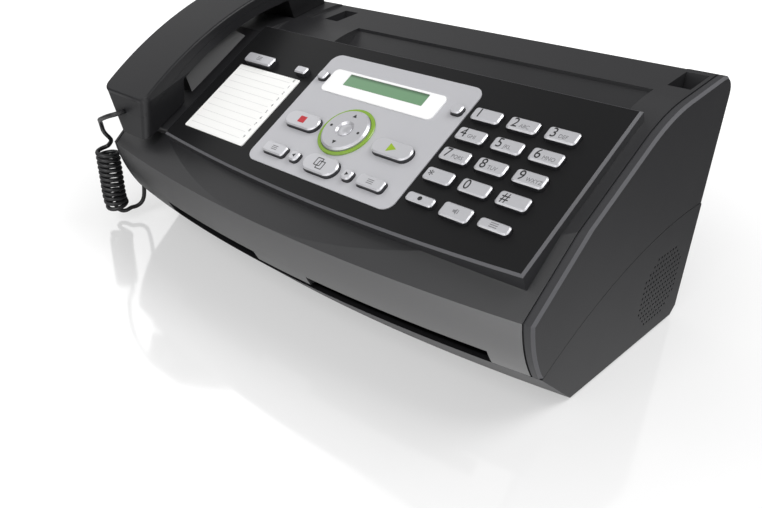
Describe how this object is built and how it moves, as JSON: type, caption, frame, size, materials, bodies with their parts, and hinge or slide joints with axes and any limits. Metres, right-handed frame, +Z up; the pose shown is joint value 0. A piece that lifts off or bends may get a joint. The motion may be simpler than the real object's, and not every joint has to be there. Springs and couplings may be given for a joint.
{
  "type": "desktop fax machine",
  "caption": "Charcoal desktop fax machine with a corded handset at its left, a sloping key panel with a small display, and a hinged cover over its printing mechanism.",
  "frame": {"origin": "middle of the bounding box at table level, under the rubber feet", "axes": "+X along the width, to the right as seen by the user; +Y from front to rear; +Z up"},
  "size_m": [0.3813, 0.1964, 0.1766],
  "materials": {
    "casing": "fine matte grain",
    "panel": "fine matte grain",
    "handset": "fine matte grain",
    "silver": "satin metallic paint",
    "key": "satin metallic paint",
    "nav": "satin metallic paint",
    "white": "semi-gloss",
    "display": "clear gloss over a grey-green display",
    "green": "translucent gloss",
    "cord": "satin",
    "rubber": "matte",
    "steel": "rolled",
    "board": "solder-resist gloss",
    "film": "glossy film",
    "black": "satin",
    "gear": "natural nylon"
  },
  "bodies": {
    "base": {"base_shell": "casing", "rubber_feet": "rubber", "base_screws": "steel", "circuit_boards": "board", "loudspeaker": "black", "mains_inlet": "black", "line_sockets": "black", "frame_plates": "steel", "stepper_motor": "steel", "thermal_head": "steel", "hinge_pins": "steel"},
    "cover": {"cover_shell": "casing", "cradle": "casing", "side_cheeks": "casing", "control_panel": "panel", "silver_plate": "silver", "display_bezel": "white", "display_glass": "display", "nav_ring": "green", "index_card": "white", "key_board": "board", "scanner_bar": "black", "cord_plug": "black", "curly_cord": "cord"},
    "handset": {"handset_upper": "handset", "handset_lower": "handset", "handset_capsules": "black"},
    "hook": {"hook_switch": "black"},
    "platen": {"platen_roller": "rubber"},
    "pinion": {"motor_pinion": "gear"},
    "supply_roll": {"film_supply_roll": "film"},
    "takeup_roll": {"film_takeup_roll": "film"},
    "document_roller": {"feed_roller": "rubber"},
    "nav": {"nav_disc": "nav"},
    "b_key_1": {"key_1": "key"},
    "b_key_2": {"key_2": "key"},
    "b_key_3": {"key_3": "key"},
    "b_key_4": {"key_4": "key"},
    "b_key_5": {"key_5": "key"},
    "b_key_6": {"key_6": "key"},
    "b_key_7": {"key_7": "key"},
    "b_key_8": {"key_8": "key"},
    "b_key_9": {"key_9": "key"},
    "b_key_star": {"key_star": "key"},
    "b_key_0": {"key_0": "key"},
    "b_key_hash": {"key_hash": "key"},
    "b_key_redial": {"key_redial": "key"},
    "b_key_speaker": {"key_speaker": "key"},
    "b_key_recall": {"key_recall": "key"},
    "b_key_stop": {"key_stop": "key"},
    "b_key_start": {"key_start": "key"},
    "b_key_copy": {"key_copy": "key"},
    "b_key_quality": {"key_quality": "key"},
    "b_key_back": {"key_back": "key"},
    "b_key_forward": {"key_forward": "key"},
    "b_key_message": {"key_message": "key"},
    "b_key_menu": {"key_menu": "key"},
    "b_key_mute": {"key_mute": "key"},
    "b_key_book": {"key_book": "key"},
    "b_key_timer": {"key_timer": "key"}
  },
  "joints": [
    {"name": "cover_hinge", "type": "hinge", "parent": "base", "child": "cover", "pos_m": [0, 0.0952, 0.077], "axis": [-1, 0, 0], "range_deg": [0, 60]},
    {"name": "handset_lift", "type": "slide", "parent": "cover", "child": "handset", "axis": [0, -0.3697, 0.9291], "range_m": [0, 0.06], "deforming": ["curly_cord"]},
    {"name": "hook_rise", "type": "slide", "parent": "cover", "child": "hook", "axis": [0, -0.518, 0.8554], "range_m": [0, 0.004]},
    {"name": "platen_spin", "type": "hinge", "parent": "base", "child": "platen", "pos_m": [0, -0.028, 0.052], "axis": [1, 0, 0], "continuous": true},
    {"name": "pinion_spin", "type": "hinge", "parent": "base", "child": "pinion", "pos_m": [0, -0.00733, 0.04448], "axis": [1, 0, 0], "continuous": true},
    {"name": "supply_spin", "type": "hinge", "parent": "base", "child": "supply_roll", "pos_m": [0, 0.038, 0.036], "axis": [1, 0, 0], "continuous": true},
    {"name": "takeup_spin", "type": "hinge", "parent": "base", "child": "takeup_roll", "pos_m": [0, 0.008, 0.059], "axis": [1, 0, 0], "continuous": true},
    {"name": "document_roller_spin", "type": "hinge", "parent": "cover", "child": "document_roller", "pos_m": [0, -0.03914, 0.09442], "axis": [1, 0, 0], "continuous": true},
    {"name": "nav_rock", "type": "hinge", "parent": "cover", "child": "nav", "pos_m": [0.01865, -0.03783, 0.10983], "axis": [1, 0, 0], "range_deg": [-2, 2], "stiffness_Nm_per_rad": 0.2},
    {"name": "key_1_press", "type": "slide", "parent": "cover", "child": "b_key_1", "axis": [0, 0.518, -0.8554], "range_m": [0, 0.001], "stiffness_N_per_m": 300},
    {"name": "key_2_press", "type": "slide", "parent": "cover", "child": "b_key_2", "axis": [0, 0.518, -0.8554], "range_m": [0, 0.001], "stiffness_N_per_m": 300},
    {"name": "key_3_press", "type": "slide", "parent": "cover", "child": "b_key_3", "axis": [0, 0.518, -0.8554], "range_m": [0, 0.001], "stiffness_N_per_m": 300},
    {"name": "key_4_press", "type": "slide", "parent": "cover", "child": "b_key_4", "axis": [0, 0.518, -0.8554], "range_m": [0, 0.001], "stiffness_N_per_m": 300},
    {"name": "key_5_press", "type": "slide", "parent": "cover", "child": "b_key_5", "axis": [0, 0.518, -0.8554], "range_m": [0, 0.001], "stiffness_N_per_m": 300},
    {"name": "key_6_press", "type": "slide", "parent": "cover", "child": "b_key_6", "axis": [0, 0.518, -0.8554], "range_m": [0, 0.001], "stiffness_N_per_m": 300},
    {"name": "key_7_press", "type": "slide", "parent": "cover", "child": "b_key_7", "axis": [0, 0.518, -0.8554], "range_m": [0, 0.001], "stiffness_N_per_m": 300},
    {"name": "key_8_press", "type": "slide", "parent": "cover", "child": "b_key_8", "axis": [0, 0.518, -0.8554], "range_m": [0, 0.001], "stiffness_N_per_m": 300},
    {"name": "key_9_press", "type": "slide", "parent": "cover", "child": "b_key_9", "axis": [0, 0.518, -0.8554], "range_m": [0, 0.001], "stiffness_N_per_m": 300},
    {"name": "key_star_press", "type": "slide", "parent": "cover", "child": "b_key_star", "axis": [0, 0.518, -0.8554], "range_m": [0, 0.001], "stiffness_N_per_m": 300},
    {"name": "key_0_press", "type": "slide", "parent": "cover", "child": "b_key_0", "axis": [0, 0.518, -0.8554], "range_m": [0, 0.001], "stiffness_N_per_m": 300},
    {"name": "key_hash_press", "type": "slide", "parent": "cover", "child": "b_key_hash", "axis": [0, 0.518, -0.8554], "range_m": [0, 0.001], "stiffness_N_per_m": 300},
    {"name": "key_redial_press", "type": "slide", "parent": "cover", "child": "b_key_redial", "axis": [0, 0.518, -0.8554], "range_m": [0, 0.001], "stiffness_N_per_m": 300},
    {"name": "key_speaker_press", "type": "slide", "parent": "cover", "child": "b_key_speaker", "axis": [0, 0.518, -0.8554], "range_m": [0, 0.001], "stiffness_N_per_m": 300},
    {"name": "key_recall_press", "type": "slide", "parent": "cover", "child": "b_key_recall", "axis": [0, 0.518, -0.8554], "range_m": [0, 0.001], "stiffness_N_per_m": 300},
    {"name": "key_stop_press", "type": "slide", "parent": "cover", "child": "b_key_stop", "axis": [0, 0.518, -0.8554], "range_m": [0, 0.001], "stiffness_N_per_m": 300},
    {"name": "key_start_press", "type": "slide", "parent": "cover", "child": "b_key_start", "axis": [0, 0.518, -0.8554], "range_m": [0, 0.001], "stiffness_N_per_m": 300},
    {"name": "key_copy_press", "type": "slide", "parent": "cover", "child": "b_key_copy", "axis": [0, 0.518, -0.8554], "range_m": [0, 0.001], "stiffness_N_per_m": 300},
    {"name": "key_quality_press", "type": "slide", "parent": "cover", "child": "b_key_quality", "axis": [0, 0.518, -0.8554], "range_m": [0, 0.001], "stiffness_N_per_m": 300},
    {"name": "key_back_press", "type": "slide", "parent": "cover", "child": "b_key_back", "axis": [0, 0.518, -0.8554], "range_m": [0, 0.001], "stiffness_N_per_m": 300},
    {"name": "key_forward_press", "type": "slide", "parent": "cover", "child": "b_key_forward", "axis": [0, 0.518, -0.8554], "range_m": [0, 0.001], "stiffness_N_per_m": 300},
    {"name": "key_message_press", "type": "slide", "parent": "cover", "child": "b_key_message", "axis": [0, 0.518, -0.8554], "range_m": [0, 0.001], "stiffness_N_per_m": 300},
    {"name": "key_menu_press", "type": "slide", "parent": "cover", "child": "b_key_menu", "axis": [0, 0.518, -0.8554], "range_m": [0, 0.001], "stiffness_N_per_m": 300},
    {"name": "key_mute_press", "type": "slide", "parent": "cover", "child": "b_key_mute", "axis": [0, 0.518, -0.8554], "range_m": [0, 0.001], "stiffness_N_per_m": 300},
    {"name": "key_book_press", "type": "slide", "parent": "cover", "child": "b_key_book", "axis": [0, 0.518, -0.8554], "range_m": [0, 0.001], "stiffness_N_per_m": 300},
    {"name": "key_timer_press", "type": "slide", "parent": "cover", "child": "b_key_timer", "axis": [0, 0.518, -0.8554], "range_m": [0, 0.001], "stiffness_N_per_m": 300}
  ],
  "couplings": [
    {"joint": "hook_rise", "follows": "handset_lift", "ratio": 0.066667},
    {"joint": "pinion_spin", "follows": "platen_spin", "ratio": -2.6667},
    {"joint": "supply_spin", "follows": "platen_spin", "ratio": 0.5},
    {"joint": "takeup_spin", "follows": "platen_spin", "ratio": 0.69231}
  ]
}
